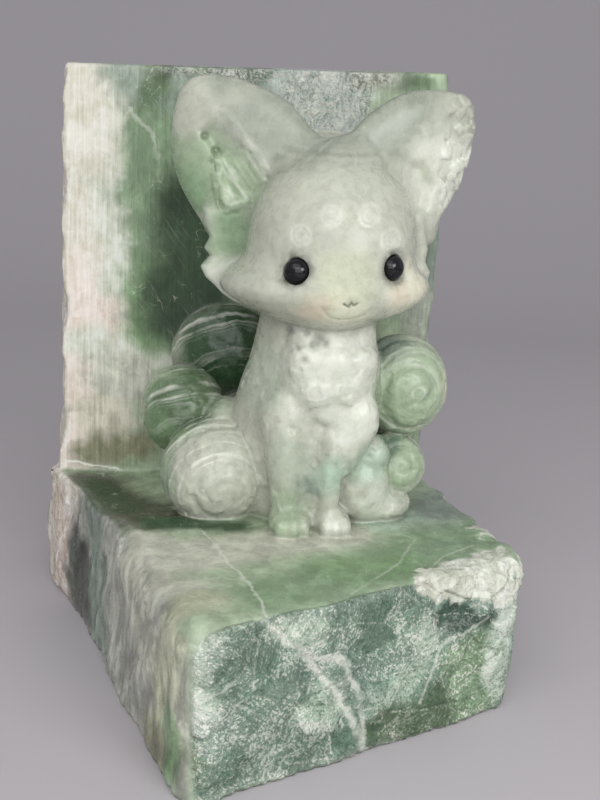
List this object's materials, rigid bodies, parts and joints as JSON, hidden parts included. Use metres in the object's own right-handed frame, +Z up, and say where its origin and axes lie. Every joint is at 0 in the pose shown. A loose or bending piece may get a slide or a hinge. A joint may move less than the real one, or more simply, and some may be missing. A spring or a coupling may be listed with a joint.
{
  "type": "nine-tailed fox carving",
  "caption": "Seated fox with curled tails carved from one L-shaped block of banded green fluorite, with inlaid black eye beads; stands by its own weight.",
  "frame": {"origin": "middle of the bounding box, on the flat underside", "axes": "+Z up; X runs along the upright slab; +Y points out of the slab's plain back, so the fox looks towards -Y, turned a little towards +X"},
  "size_m": [0.1276, 0.1316, 0.149],
  "materials": {
    "fluorite": "banded green and white fluorite, waxy satin where carved, frosted where sawn, raw crust on the natural sides",
    "eye_bead": "polished opaque black"
  },
  "bodies": {
    "root": {"carved_stone": "fluorite", "right_eye_bead": "eye_bead", "left_eye_bead": "eye_bead"}
  },
  "joints": []
}
